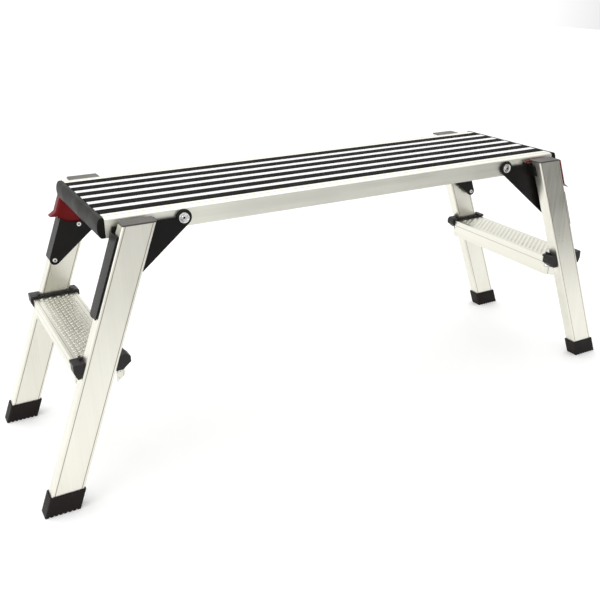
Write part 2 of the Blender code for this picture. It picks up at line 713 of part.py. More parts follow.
def lever_angles(line, radius):
    """Angles where a circle round the lever's pivot meets a line along the leg."""
    across = LEVER_PIVOT[0] * math.cos(LEG_SPLAY) + LEVER_PIVOT[1] * math.sin(LEG_SPLAY)
    turn = math.degrees(math.acos((line - across) / radius))
    return math.degrees(LEG_SPLAY) - turn, math.degrees(LEG_SPLAY) + turn


def lever_blank():
    """Flat blank of the lever: round heel, arm over the stop pin, and the unbent handle."""
    inner = LEG_NEAR + LEVER_INSET
    arm_low = STOP_Z + STOP_RADIUS + FIT
    arm_high = arm_low + ARM_THICKNESS
    low = HANDLE_BOTTOM - HANDLE_LIP
    heel = arc(LEVER_PIVOT, LEVER_RADIUS, lever_angles(inner, LEVER_RADIUS)[0],
               lever_angles(BEND_START, LEVER_RADIUS)[0], 14)
    tip = STOP_REACH - STOP_RADIUS
    edge = BEND_START + BEND_LENGTH + HANDLE_WIDTH - BEND_RADIUS
    points = [(tip, arm_high), (tip, arm_low), (leg_x(inner, arm_low), arm_low)] + heel
    points += [(leg_x(BEND_START + RUNNING, low), low), (leg_x(edge, low), low)]
    points += [(leg_x(edge, HANDLE_TOP), HANDLE_TOP), (leg_x(BEND_START, HANDLE_TOP), HANDLE_TOP)]
    points += [(leg_x(BEND_START - BEND_RADIUS, arm_high), arm_high)]
    return points


def bend_handle(made):
    """Cuts the blank along its bend and its lip, then bends the handle round the leg."""
    middle = LEVER_INNER + LEVER_SHEET / 2
    radius = BEND_RADIUS - LEVER_SHEET / 2
    across = Matrix.Rotation(-LEG_SPLAY, 3, "Y") @ Vector((1, 0, 0))
    shape = bmesh.new()
    shape.from_mesh(made.data)
    cuts = [((leg_x(BEND_START + BEND_LENGTH * i / BEND_STEPS, 0), 0, 0), across)
            for i in range(BEND_STEPS + 1)]
    cuts.append(((0, 0, HANDLE_BOTTOM), (0, 0, 1)))
    for place, normal in cuts:
        everything = shape.verts[:] + shape.edges[:] + shape.faces[:]
        bmesh.ops.bisect_plane(shape, geom=everything, dist=0.000001, plane_co=place,
                               plane_no=normal)
    for vertex in shape.verts:
        x, y, z = vertex.co
        beyond = x * math.cos(LEG_SPLAY) + z * math.sin(LEG_SPLAY) - BEND_START
        if beyond <= 0:
            continue
        turn = min(beyond / radius, math.pi / 2)
        ring = radius - (y - middle)
        reach = BEND_START + ring * math.sin(turn)
        flare = max(0, HANDLE_BOTTOM - z) / HANDLE_LIP * HANDLE_FLARE * math.sin(turn)
        straight = max(0, beyond - BEND_LENGTH)
        vertex.co.x = leg_x(reach + flare, z)
        vertex.co.y = middle + radius - ring * math.cos(turn) + straight
    shape.to_mesh(made.data)
    shape.free()


def lever(side, row, parent):
    """Locking lever: cheek between bracket and leg, bent to a handle outside the leg."""
    name = "lock_lever_left" if side < 0 else "lock_lever_right"
    made = outline_object(name, [lever_blank()], LEVER_INNER, LEVER_OUTER, ALONG_Y, "red_lever")
    hole = cylinder("hole", LEVER_PIN_RADIUS + FIT, LEVER_PIVOT, LEVER_INNER - SHEET,
                    LEVER_OUTER + SHEET)
    combine(made, "DIFFERENCE", hole)
    bend_handle(made)
    return to_corner(made, side, row, parent)


def lever_pin(side, row, parent):
    """Headed pin on which the lever turns, riveted in the leg's inner wall."""
    inside = LEG_INNER + LEG_WALL + FIT
    head = LEVER_INNER - FIT
    profile = [(0, inside + LEG_WALL), (LEVER_PIN_RADIUS * 1.6, inside + LEG_WALL),
               (LEVER_PIN_RADIUS * 1.6, inside), (LEVER_PIN_RADIUS, inside),
               (LEVER_PIN_RADIUS, head), (LEVER_PIN_RADIUS * 2, head),
               (LEVER_PIN_RADIUS * 1.7, head - FIT * 4), (0, head - FIT * 4)]
    made = turned("lever_pin_left" if side < 0 else "lever_pin_right", profile, LEVER_PIVOT,
                  "steel")
    return to_corner(made, side, row, parent)


def lever_spring(side, row, parent):
    """Torsion spring round the lever's pin, between the cheek and the leg."""
    name = "lever_spring_left" if side < 0 else "lever_spring_right"
    per_turn = 12
    pitch = (LEG_INNER - LEVER_OUTER - 2 * FIT - 2 * SPRING_WIRE) / SPRING_TURNS
    start = LEVER_OUTER + FIT + SPRING_WIRE
    count = per_turn * SPRING_TURNS
    angles = [2 * math.pi * i / per_turn for i in range(count + 1)]
    points = [(LEVER_PIVOT[0] + SPRING_RADIUS * math.cos(a), start + pitch * i / per_turn,
               LEVER_PIVOT[1] + SPRING_RADIUS * math.sin(a)) for i, a in enumerate(angles)]
    reach = SPRING_RADIUS * 3
    points.insert(0, (points[0][0], start, LEVER_PIVOT[1] - reach))
    points.append((points[-1][0], points[-1][1], LEVER_PIVOT[1] + reach * 0.8))
    curve = bpy.data.curves.new(name, "CURVE")
    curve.dimensions = "3D"
    curve.bevel_depth = SPRING_WIRE
    curve.bevel_resolution = 1
    curve.use_fill_caps = True
    spline = curve.splines.new("POLY")
    spline.points.add(len(points) - 1)
    for point, place in zip(spline.points, points):
        point.co = (*place, 1)
    holder = bpy.data.objects.new(name + "_path", curve)
    CUTTERS.objects.link(holder)
    graph = bpy.context.evaluated_depsgraph_get()
    mesh = bpy.data.meshes.new_from_object(holder.evaluated_get(graph))
    bpy.data.objects.remove(holder, do_unlink=True)
    shape = bmesh.new()
    shape.from_mesh(mesh)
    bmesh.ops.remove_doubles(shape, verts=shape.verts, dist=0.00001)
    bmesh.ops.recalc_face_normals(shape, faces=shape.faces)
    shape.to_mesh(mesh)
    shape.free()
    made = new_object(name, mesh, "steel")
    made.data.shade_smooth()
    return to_corner(made, side, row, parent)


def step_end():
    """Half length of a step, just short of the toed legs."""
    return LEG_INNER - LEG_TOE * STEP_TOP - RUNNING


def step_tread(side, parent):
    """Formed step: a flat top, a deeper inner side with a pressed line, and an outer side."""
    inner = STEP_INNER
    outer = STEP_OUTER
    top = STEP_TOP
    low = top - STEP_INNER_FLANGE
    line = top - STEP_LINE_DROP
    points = [(inner, top), (outer, top), (outer, low), (outer - STEP_SHEET, low),
              (outer - STEP_SHEET, top - STEP_SHEET), (inner + STEP_SHEET, top - STEP_SHEET),
              (inner + STEP_SHEET, low), (inner, low), (inner, line - STEP_LINE_DEPTH),
              (inner + STEP_LINE_DEPTH, line), (inner, line + STEP_LINE_DEPTH)]
    name = "step_left" if side < 0 else "step_right"
    end = step_end()
    made = outline_object(name, [points], -end, end, ALONG_Y, "aluminium")
    clear = box("clear", (outer - STEP_SHEET * 2, -end + STEP_TAB_LENGTH, low - STEP_SHEET),
                (outer + STEP_SHEET, end - STEP_TAB_LENGTH, top - STEP_OUTER_FLANGE))
    combine(made, "DIFFERENCE", clear)
    ear_reach = leg_x(LEG_NEAR, low + STEP_EAR_RISE) - RUNNING - STEP_SHEET / 2
    ear_end = LEG_OUTER - LEG_TOE * STEP_TOP - STEP_SHEET / 2
    for row in (-1, 1):
        plan = [(inner, end - STEP_SHEET), (inner, end + STEP_EAR_START),
                (ear_reach - STEP_SHEET / 2, ear_end), (ear_reach + STEP_SHEET / 2, ear_end),
                (inner + STEP_SHEET, end), (inner + STEP_SHEET, end - STEP_SHEET)]
        plan = [(x, row * y) for x, y in plan]
        combine(made, "UNION", outline_object("ear", [plan], low, low + STEP_EAR_RISE, ALONG_Z))
    for vertex in made.data.vertices:
        vertex.co.x *= side
    if side < 0:
        made.data.flip_normals()
    made.parent = parent
    return made


def step_collar(side, row, parent):
    """Plastic saddle on the step's end, with an arm along each narrow face of the leg."""
    inner = STEP_INNER - COLLAR_INNER_REACH
    outer = STEP_OUTER + COLLAR_OUTER_REACH
    top = STEP_TOP + COLLAR_HEIGHT
    base = STEP_TOP + FIT
    low = top - COLLAR_DROP - COLLAR_HEIGHT
    side_low = top - COLLAR_SIDE
    far = LEG_FAR + 2 * FIT
    near = LEG_NEAR - 2 * FIT
    bar_end = LEG_INNER - 2 * FIT
    bar_start = bar_end - COLLAR_BAR
    arm_start = LEG_INNER + FIT
    name = corner_name("step_collar", side, row)
    made = box(name, (inner + COLLAR_TOE, bar_start, base), (outer, bar_end, top),
               "black_plastic")
    outer_arm = [(leg_x(far, low), low), (outer - COLLAR_TOE, low), (outer, side_low),
                 (outer, top), (leg_x(far, top), top)]
    inner_arm = [(leg_x(near, low), low), (leg_x(near, top), top), (inner + COLLAR_TOE, top),
                 (inner, top - COLLAR_TOE), (inner, side_low), (inner + 3 * COLLAR_TOE, low)]
    for points in (outer_arm, inner_arm):
        combine(made, "UNION", outline_object("arm", [points], arm_start,
                                              arm_start + COLLAR_ARM, ALONG_Y))
    bridges = ((leg_x(far, base), outer - FIT), (inner + COLLAR_TOE + FIT, leg_x(near, top)))
    for low_x, high_x in bridges:
        bridge = box("bridge", (low_x, bar_start + FIT, base + FIT),
                     (high_x, arm_start + COLLAR_TOE, top - FIT))
        combine(made, "UNION", bridge)
    nub_top = top + NUB_RISE
    nub_places = (leg_x(far, base), leg_x(near, nub_top) - NUB_WIDTH)
    for start in nub_places:
        nub = box("nub", (start, bar_start + 2 * FIT, base + 2 * FIT),
                  (start + NUB_WIDTH, arm_start + COLLAR_TOE + FIT, nub_top))
        combine(made, "UNION", nub)
    return to_corner(made, side, row, parent)


def leg_frame(side):
    """One leg frame with its step and its locking lever."""
    word = "left" if side < 0 else "right"
    axis = empty(f"{word}_fold_axis", (side * PIVOT_X, 0, PIVOT_Z))
    lever_row = -side
    toed = (LEG_INNER - LEG_TOE * LEVER_PIVOT[1]) * lever_row
    lever_axis = empty(f"{word}_lever_axis",
                       (side * (PIVOT_X + LEVER_PIVOT[0]), toed, PIVOT_Z + LEVER_PIVOT[1]), axis)
    for row in (-1, 1):
        holds_lever = row == lever_row
        leg(side, row, axis, holds_lever)
        leg_cap(side, row, axis)
        foot(side, row, axis)
        bracket(side, row, axis, holds_lever)
        bracket_rivet("upper", RIVET_UPPER, side, row, axis)
        bracket_rivet("lower", RIVET_LOWER, side, row, axis)
        step_collar(side, row, axis)
    step_tread(side, axis)
    lever_pin(side, lever_row, axis)
    lever_spring(side, lever_row, axis)
    lever(side, lever_row, lever_axis)


def platform():
    """Everything that stays with the deck."""
    deck_panel()
    for index, middle in enumerate(strip_places(), 1):
        grip_strip(index, middle)
    for sign in (-1, 1):
        rail(sign)
        end_cap(sign)
    for side in (-1, 1):
        for row in (-1, 1):
            pivot_bolt(side, row)
            pivot_nut(side, row)
            stop_pin(side, row)


platform()
for frame_side in (-1, 1):
    leg_frame(frame_side)
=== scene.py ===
"""Looks of the folding work platform bench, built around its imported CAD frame."""

import json
import math
from collections import namedtuple

import bmesh
import bpy
from mathutils import Euler, Matrix, Vector


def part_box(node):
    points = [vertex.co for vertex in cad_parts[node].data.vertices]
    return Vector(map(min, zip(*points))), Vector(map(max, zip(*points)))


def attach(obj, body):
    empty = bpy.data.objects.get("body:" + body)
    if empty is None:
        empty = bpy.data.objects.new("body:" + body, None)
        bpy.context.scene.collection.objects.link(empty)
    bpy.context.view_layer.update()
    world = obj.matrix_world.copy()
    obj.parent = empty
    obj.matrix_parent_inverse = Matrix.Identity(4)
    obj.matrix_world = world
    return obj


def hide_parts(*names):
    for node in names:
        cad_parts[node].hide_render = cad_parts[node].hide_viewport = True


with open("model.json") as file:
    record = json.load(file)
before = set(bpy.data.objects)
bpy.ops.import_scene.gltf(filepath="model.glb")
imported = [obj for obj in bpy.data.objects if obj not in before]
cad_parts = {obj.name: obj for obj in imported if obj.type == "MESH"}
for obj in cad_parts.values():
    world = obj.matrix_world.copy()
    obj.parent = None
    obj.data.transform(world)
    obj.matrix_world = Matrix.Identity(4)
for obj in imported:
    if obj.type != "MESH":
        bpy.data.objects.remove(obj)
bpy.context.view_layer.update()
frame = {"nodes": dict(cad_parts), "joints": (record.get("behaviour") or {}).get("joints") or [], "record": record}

NODES = frame["nodes"]
JOINTS = {joint["name"]: joint for joint in frame["joints"]}
X, Y, Z = range(3)


# ---------------------------------------------------------------- sizes

def rounded(metres):
    """A length to the nearest tenth of a millimetre."""
    return round(metres, 4)


def in_metres(profile):
    """Points of a profile given in millimetres."""
    return [(radius / 1000, height / 1000) for radius, height in profile]


PIVOT_X = JOINTS["right_fold"]["pos_m"][X]
PIVOT_Z = JOINTS["right_fold"]["pos_m"][Z]
SPLAY = math.radians(20.5)
LEG_MIDDLE = 0.0863

RAIL_OUTER = rounded(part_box("side_rail_rear")[1].y)
BOLT_LOW, BOLT_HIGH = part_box("pivot_bolt_right_rear")
STEP_LOW, STEP_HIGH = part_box("step_right")
STEP_INNER = rounded(STEP_LOW.x)
STEP_OUTER = rounded(STEP_HIGH.x)
STEP_MIDDLE = rounded((STEP_INNER + STEP_OUTER) / 2)
STEP_END = rounded(STEP_HIGH.y)
STEP_TOP = rounded(STEP_HIGH.z)


# ---------------------------------------------------------------- materials

NOISE_ROUGHNESS = 0.55
MIX_FACTOR, MIX_FIRST, MIX_SECOND = 0, 6, 7
MIX_RESULT = 2

# Painted shade of grooves and creases, as two fine dark lines each as far away from a plane as the other:
# the plane's axis and its distance from the origin, then the distance of the lines from it, half their width and
# their strength.
Line = namedtuple("Line", "axis middle away half_width depth")


class Shader:
    """A Principled material with short calls for the nodes that vary it."""

    def __init__(self, name, colour, roughness, metallic=0.0, specular=0.5):
        self.material = bpy.data.materials.new(name)
        self.material.use_nodes = True
        self.nodes = self.material.node_tree.nodes
        self.links = self.material.node_tree.links
        self.shader = self.nodes["Principled BSDF"]
        self.shader.inputs["Base Color"].default_value = (*colour, 1)
        self.shader.inputs["Roughness"].default_value = roughness
        self.shader.inputs["Metallic"].default_value = metallic
        self.shader.inputs["Specular IOR Level"].default_value = specular
        self.place = self.nodes.new("ShaderNodeTexCoord").outputs["Object"]
        self.height = None

    def noise(self, vector, scale, detail, roughness=NOISE_ROUGHNESS):
        """Noise texture value."""
        made = self.nodes.new("ShaderNodeTexNoise")
        made.inputs["Scale"].default_value = scale
        made.inputs["Detail"].default_value = detail
        made.inputs["Roughness"].default_value = roughness
        self.links.new(vector, made.inputs["Vector"])
        return made.outputs["Fac"]

    def streaks(self, axis, turn, across, along, roughness=NOISE_ROUGHNESS):
        """Noise value drawn out along one axis of coordinates that are turned."""
        scale = [across] * 3
        scale[axis] = along
        mapping = self.nodes.new("ShaderNodeMapping")
        mapping.inputs["Scale"].default_value = scale
        mapping.inputs["Rotation"].default_value = turn
        self.links.new(self.place, mapping.inputs["Vector"])
        return self.noise(mapping.outputs["Vector"], 1.0, 2.0, roughness)

    def spread(self, value, low, high, start=0.3, end=0.7):
        """Maps a value from start..end to low..high."""
        made = self.nodes.new("ShaderNodeMapRange")
        made.inputs["From Min"].default_value = start
        made.inputs["From Max"].default_value = end
        made.inputs["To Min"].default_value = low
        made.inputs["To Max"].default_value = high
        self.links.new(value, made.inputs["Value"])
        return made.outputs["Result"]

    def maths(self, operation, first, second=0.0):
        """Maths node on two values or numbers."""
        made = self.nodes.new("ShaderNodeMath")
        made.operation = operation
        for socket, value in zip(made.inputs, (first, second)):
            if isinstance(value, (int, float)):
                socket.default_value = value
            else:
                self.links.new(value, socket)
        return made.outputs["Value"]

    def weighted(self, shares):
        """Sum of noise values, each spread from 0 to 1 and given its share."""
        total = None
        for value, share in shares:
            part = self.maths("MULTIPLY", self.spread(value, 0.0, 1.0), share)
            total = part if total is None else self.maths("ADD", total, part)
        return total

    def mix(self, amount, first, second):
        """Mixes two colours; each is a tuple or an output."""
        made = self.nodes.new("ShaderNodeMix")
        made.data_type = "RGBA"
        sockets = [made.inputs[i] for i in (MIX_FACTOR, MIX_FIRST, MIX_SECOND)]
        for socket, value in zip(sockets, (amount, first, second)):
            if isinstance(value, tuple):
                socket.default_value = (*value, 1)
            else:
                self.links.new(value, socket)
        return made.outputs[MIX_RESULT]

    def colour(self, output):
        """Sets the base colour from nodes."""
        self.links.new(output, self.shader.inputs["Base Color"])

    def gloss(self, output):
        """Sets the roughness from nodes."""
        self.links.new(output, self.shader.inputs["Roughness"])

    def bump(self, output, strength, distance):
        """Adds one more layer of fine relief."""
        made = self.nodes.new("ShaderNodeBump")
        made.inputs["Strength"].default_value = strength
        made.inputs["Distance"].default_value = distance
        self.links.new(output, made.inputs["Height"])
        if self.height is not None:
            self.links.new(self.height, made.inputs["Normal"])
        self.height = made.outputs["Normal"]
        self.links.new(self.height, self.shader.inputs["Normal"])

    def painted_groove_shade(self, shade_line):
        """Strength of a pair of fine dark lines of painted groove shade at a point."""
        dot = self.nodes.new("ShaderNodeVectorMath")
        dot.operation = "DOT_PRODUCT"
        self.links.new(self.place, dot.inputs[0])
        dot.inputs[1].default_value = shade_line.axis
        offset = self.maths("SUBTRACT", dot.outputs["Value"], shade_line.middle)
        away = self.maths("ABSOLUTE", offset)
        miss = self.maths("ABSOLUTE", self.maths("SUBTRACT", away, shade_line.away))
        return self.spread(miss, shade_line.depth, 0.0, shade_line.half_width / 2, shade_line.half_width)

    def edges(self):
        """Value that is above a half on outer edges."""
        return self.nodes.new("ShaderNodeNewGeometry").outputs["Pointiness"]


# Brown colour of the painted shade in grooves and creases.
GROOVE_SHADE_BROWN = (0.30, 0.255, 0.21)


def extruded(name, colour, dark, roughness, along, turn=(0, 0, 0), shade_lines=()):
    """Extruded aluminium: fine grain along the piece, cloudy oxide and fine dark lines of painted shade where
    grooves and creases are.
    """
    made = Shader(name, colour, roughness, metallic=1.0)
    grain = made.streaks(along, turn, across=260.0, along=2.5, roughness=0.6)
    broad = made.streaks(along, turn, across=34.0, along=1.2)
    cloud = made.noise(made.place, scale=9.0, detail=4.0)
    fine = made.noise(made.place, scale=900.0, detail=1.0)
    base = made.mix(made.weighted(((grain, 0.35), (broad, 0.4), (cloud, 0.25))), dark, colour)
    # Fine dark lines of painted shade where grooves and creases are.
    for shade_line in shade_lines:
        base = made.mix(made.painted_groove_shade(shade_line), base, GROOVE_SHADE_BROWN)
    made.colour(base)
    made.gloss(made.maths("ADD", made.spread(grain, roughness - 0.05, roughness + 0.05),
                          made.spread(cloud, -0.03, 0.05)))
    made.bump(grain, strength=0.10, distance=0.0004)
    made.bump(fine, strength=0.05, distance=0.0002)
    return made.material


def moulded(name, colour, light, roughness, specular):
    """Moulded plastic or rubber: spark-eroded texture, dusty patches and worn edges."""
    made = Shader(name, colour, roughness, specular=specular)
    fine = made.noise(made.place, scale=700.0, detail=2.0)
    cloud = made.noise(made.place, scale=22.0, detail=4.0)
    worn = made.spread(made.edges(), 0.0, 0.7, start=0.52, end=0.62)
    dust = made.spread(cloud, 0.0, 0.35, start=0.35, end=0.75)
    made.colour(made.mix(made.maths("MAXIMUM", worn, dust), colour, light))
    made.gloss(made.spread(cloud, roughness - 0.06, roughness + 0.08))
    made.bump(fine, strength=0.25, distance=0.0003)
    return made.material


def coated(name, colour, light, roughness, specular):
    """Painted steel: slight orange peel, fine dust and thin edges."""
    made = Shader(name, colour, roughness, specular=specular)
    peel = made.noise(made.place, scale=320.0, detail=2.0)
    cloud = made.noise(made.place, scale=16.0, detail=4.0)
    worn = made.spread(made.edges(), 0.0, 0.8, start=0.53, end=0.63)
    dust = made.spread(cloud, 0.0, 0.25, start=0.4, end=0.8)
    made.colour(made.mix(made.maths("MAXIMUM", worn, dust), colour, light))
    made.gloss(made.spread(peel, roughness - 0.04, roughness + 0.05))
    made.bump(peel, strength=0.08, distance=0.0004)
    return made.material


def plated(name, colour, dark, roughness):
    """Plated steel of rivets, bolts and pins: turning marks and small stains."""
    made = Shader(name, colour, roughness, metallic=1.0)
    fine = made.noise(made.place, scale=1400.0, detail=2.0)
    stain = made.noise(made.place, scale=160.0, detail=3.0)
    made.colour(made.mix(made.spread(stain, 0.0, 1.0, start=0.35, end=0.75), colour, dark))
    made.gloss(made.spread(fine, roughness - 0.05, roughness + 0.12))
    made.bump(fine, strength=0.12, distance=0.0002)
    return made.material


def painted_hole_shade(name, colour, dusty, roughness, specular):
    """Painted shade for the inside of a hole: a dull dark disc, with a little dust."""
    made = Shader(name, colour, roughness, specular=specular)
    dust = made.noise(made.place, scale=500.0, detail=2.0)
    made.colour(made.mix(made.spread(dust, 0.0, 0.3), colour, dusty))
    return made.material


def leg_groove_shade(side):
    """The painted shade of the grooves near both edges of a leg's wide faces."""
    axis = (side * math.cos(SPLAY), 0, math.sin(SPLAY))
    middle = PIVOT_X * math.cos(SPLAY) + PIVOT_Z * math.sin(SPLAY) + LEG_MIDDLE
    return Line(axis, middle, away=0.0217, half_width=0.0009, depth=0.85)


def step_groove_shade(side):
    """The painted shade of the grooves near both edges of a step's tread."""
    return Line((1, 0, 0), side * STEP_MIDDLE, away=0.0370, half_width=0.0008, depth=0.7)


# Painted shade of the grooves along the rail's top and of a crease along the step's sides.
RAIL_GROOVE_SHADE = Line((0, 1, 0), 0.0, away=rounded(RAIL_OUTER - 0.011), half_width=0.0010, depth=0.8)
STEP_CREASE_SHADE = Line((0, 0, 1), rounded(STEP_TOP - 0.013), away=0.0, half_width=0.0011, depth=0.6)

LEG_SATIN = dict(colour=(0.86, 0.85, 0.765), dark=(0.76, 0.745, 0.66), roughness=0.34, along=Z)
BRIGHT_STEEL = (0.90, 0.90, 0.89)
BOLT_STEEL = (0.88, 0.88, 0.87)
STAINED_STEEL = (0.52, 0.51, 0.49)
SPRING_STEEL = (0.5, 0.5, 0.5)
DARK_SPRING_STEEL = (0.25, 0.25, 0.25)

LOOKS = {
    "deck_aluminium": extruded(
        "deck_ribs", colour=(0.97, 0.97, 0.96), dark=(0.86, 0.86, 0.85), roughness=0.26,
        along=X),
    "rail_aluminium": extruded(
        "rail_satin", colour=(0.97, 0.96, 0.87), dark=(0.88, 0.87, 0.78), roughness=0.46,
        along=X, shade_lines=[RAIL_GROOVE_SHADE]),
    "leg_left": extruded(
        "leg_satin_left", turn=(0, -SPLAY, 0), shade_lines=[leg_groove_shade(-1)], **LEG_SATIN),
    "leg_right": extruded(
        "leg_satin_right", turn=(0, SPLAY, 0), shade_lines=[leg_groove_shade(1)], **LEG_SATIN),
    "step_aluminium": extruded(
        "step_satin", colour=(0.84, 0.83, 0.75), dark=(0.74, 0.73, 0.64), roughness=0.36,
        along=Y, shade_lines=[step_groove_shade(-1), step_groove_shade(1), STEP_CREASE_SHADE]),
    "grip_rubber": moulded(
        "grip_rubber", colour=(0.004, 0.0022, 0.0026), light=(0.014, 0.008, 0.009),
        roughness=0.55, specular=0.04),
    "end_cap_black": moulded(
        "end_cap_black", colour=(0.007, 0.0062, 0.005), light=(0.022, 0.020, 0.017),
        roughness=0.46, specular=0.10),
    "leg_cap_grey": moulded(
        "leg_cap_grey", colour=(0.066, 0.058, 0.047), light=(0.12, 0.11, 0.095),
        roughness=0.44, specular=0.35),
    "foot_rubber": moulded(
        "foot_rubber", colour=(0.008, 0.0055, 0.0055), light=(0.03, 0.024, 0.022),
        roughness=0.55, specular=0.12),
    "bracket_black": coated(
        "bracket_black", colour=(0.005, 0.0042, 0.004), light=(0.022, 0.02, 0.018),
        roughness=0.40, specular=0.18),
    "rivet_steel": plated("rivet_steel", BRIGHT_STEEL, STAINED_STEEL, roughness=0.22),
    "bolt_steel": plated("bolt_steel", BOLT_STEEL, STAINED_STEEL, roughness=0.20),
    "spring_steel": plated("spring_steel", SPRING_STEEL, DARK_SPRING_STEEL, roughness=0.30),
    "collar_black": moulded(
        "collar_black", colour=(0.010, 0.009, 0.009), light=(0.04, 0.038, 0.036),
        roughness=0.42, specular=0.25),
    "lever_red": coated(
        "lever_red", colour=(0.13, 0.0018, 0.003), light=(0.36, 0.05, 0.04),
        roughness=0.34, specular=0.12),
}
# Painted shade for bores, sockets and pierced holes.
HOLE_SHADE = painted_hole_shade("bore_shadow", colour=(0.004, 0.004, 0.004), dusty=(0.012, 0.012, 0.012),
                   roughness=0.7, specular=0.05)


# ---------------------------------------------------------------- CAD pieces

WELD_DISTANCE = 0.00001
FLAT_ANGLE = math.radians(0.5)
BEVEL_ANGLE = math.radians(32)
BEVEL_SEGMENTS = 2
SKIN_SHARP_ANGLE = math.radians(40)
FACE_AREA_WEIGHT = 100
EDGE_WIDTHS = {
    "deck_panel": 0.0004, "side_rail": 0.0003, "grip_strip": 0.0002, "end_cap": 0.0009,
    "leg_cap": 0.0006, "foot": 0.0006, "hinge_bracket": 0.0005, "step_collar": 0.0009,
    "lock_lever": 0.0005, "step_left": 0.0006, "step_right": 0.0006, "pivot_nut": 0.0004,
    "rivet": 0.0002, "lever_pin": 0.0004, "stop_pin": 0.0003,
}


def slot_of(node):
    """The record's material slot of a CAD node."""
    for entry in frame["record"]["subparts"]:
        if entry["node"] == node:
            return entry["material_slot"]
    raise KeyError(node)


def body_of(node):
    """The CAD body that a node belongs to."""
    for body, nodes in frame["record"]["behaviour"]["bodies"].items():
        if node in nodes:
            return body
    raise KeyError(node)


def look_of(node):
    """The material of a CAD node's slot."""
    slot = slot_of(node)
    if slot == "leg_aluminium":
        return LOOKS["leg_left" if "left" in node else "leg_right"]
    return LOOKS[slot]


def apply_modifiers(piece):
    """Makes the evaluated mesh the piece's own mesh."""
    graph = bpy.context.evaluated_depsgraph_get()
    mesh = bpy.data.meshes.new_from_object(piece.evaluated_get(graph))
    piece.modifiers.clear()
    piece.data = mesh


def even_shading(piece):
    """Smooth edges with flat faces left flat: normals are weighted by face area."""
    piece.data.shade_smooth()
    piece.data.set_sharp_from_angle(angle=SKIN_SHARP_ANGLE)
    weighted = piece.modifiers.new("normals", "WEIGHTED_NORMAL")
    weighted.keep_sharp = True
    weighted.weight = FACE_AREA_WEIGHT
    apply_modifiers(piece)


def dressed(node, width):
    """Puts a skin with rounded edges in the place of a CAD node."""
    piece = bpy.data.objects.new(node + "_skin", NODES[node].data.copy())
    bpy.context.scene.collection.objects.link(piece)
    shape = bmesh.new()
    shape.from_mesh(piece.data)
    bmesh.ops.remove_doubles(shape, verts=shape.verts, dist=WELD_DISTANCE)
    bmesh.ops.dissolve_limit(shape, angle_limit=FLAT_ANGLE, verts=shape.verts,
                             edges=shape.edges)
    shape.to_mesh(piece.data)
    shape.free()
    bevel = piece.modifiers.new("edges", "BEVEL")
    bevel.width = width
    bevel.segments = BEVEL_SEGMENTS
    bevel.limit_method = "ANGLE"
    bevel.angle_limit = BEVEL_ANGLE
    bevel.use_clamp_overlap = True
    bevel.harden_normals = False
    apply_modifiers(piece)
    even_shading(piece)
    piece.data.materials.clear()
    piece.data.materials.append(look_of(node))
    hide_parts(node)
    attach(piece, body_of(node))


def dress_all():
    """Every CAD node gets its material, and a skin with rounded edges where it has any."""
    for node, item in NODES.items():
        item.data.materials.clear()
        item.data.materials.append(look_of(node))
        for start, width in EDGE_WIDTHS.items():
            if node.startswith(start):
                dressed(node, width)
                break


# ---------------------------------------------------------------- added pieces

TURNED_SHARP_ANGLE = math.radians(50)


def lathe(shape, profile, place, steps, dark_from=None):
    """Adds a turned form to a shape. The profile is a list of (radius, height), and its
    stretches from number dark_from on take the piece's second material."""
    rings = []
    for radius, height in profile:
        count = steps if radius else 1
        turns = [2 * math.pi * i / steps for i in range(count)]
        rings.append([shape.verts.new(place @ Vector((radius * math.cos(a),
                                                      radius * math.sin(a), height)))
                      for a in turns])
    for index, (first, second) in enumerate(zip(rings, rings[1:])):
        for i in range(steps):
            j = (i + 1) % steps
            corners = [first[i % len(first)], first[j % len(first)],
                       second[j % len(second)], second[i % len(second)]]
            face = shape.faces.new(list(dict.fromkeys(corners)))
            face.smooth = True
            face.material_index = int(dark_from is not None and index >= dark_from)


def new_piece(name, shape, materials, body):
    """Turns a finished shape into a piece that rides on a body."""
    bmesh.ops.recalc_face_normals(shape, faces=shape.faces)
    mesh = bpy.data.meshes.new(name)
    shape.to_mesh(mesh)
    shape.free()
    mesh.set_sharp_from_angle(angle=TURNED_SHARP_ANGLE)
    for item in materials:
        mesh.materials.append(item)
    made = bpy.data.objects.new(name, mesh)
    bpy.context.scene.collection.objects.link(made)
    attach(made, body)
    return made


def facing(row, place):
    """Matrix that points a turned form's height along Y, outwards on its side."""
    return Matrix.Translation(place) @ Matrix.Rotation(-row * math.pi / 2, 4, "X")


HEAD_THICKNESS = 0.0032
HEAD_UNDER = rounded(BOLT_HIGH.y - HEAD_THICKNESS)
BOLT_TAIL = rounded(BOLT_LOW.y)
SHANK_RADIUS = 0.004
HEAD_SIDES = 48

# Millimetres above the head's underside, from the foot of its edge in to the socket's middle.
HEAD = [(9.8, 0), (9.8, 1.8), (9.5, 2.6), (8.9, 3.1), (8.0, 3.15), (7.4, 2.9), (6.9, 1.7),
        (5.0, 1.5), (4.5, 2.1), (3.9, 2.7), (1.9, 2.5), (1.6, 1.4), (0, 1.4)]
# From this stretch on, the socket's walls and floor take painted shade.
SOCKET_SHADE_FROM = 10
RIM = [(10.1, 0.1), (10.2, 2.0), (10.7, 2.5), (12.0, 2.5), (12.6, 1.9), (12.8, -0.6),
       (10.1, -0.6), (10.1, 0.1)]


def above_rail(profile):
    """A profile in millimetres moved to the height of the bolt heads' undersides."""
    return [(radius, HEAD_UNDER + height) for radius, height in in_metres(profile)]


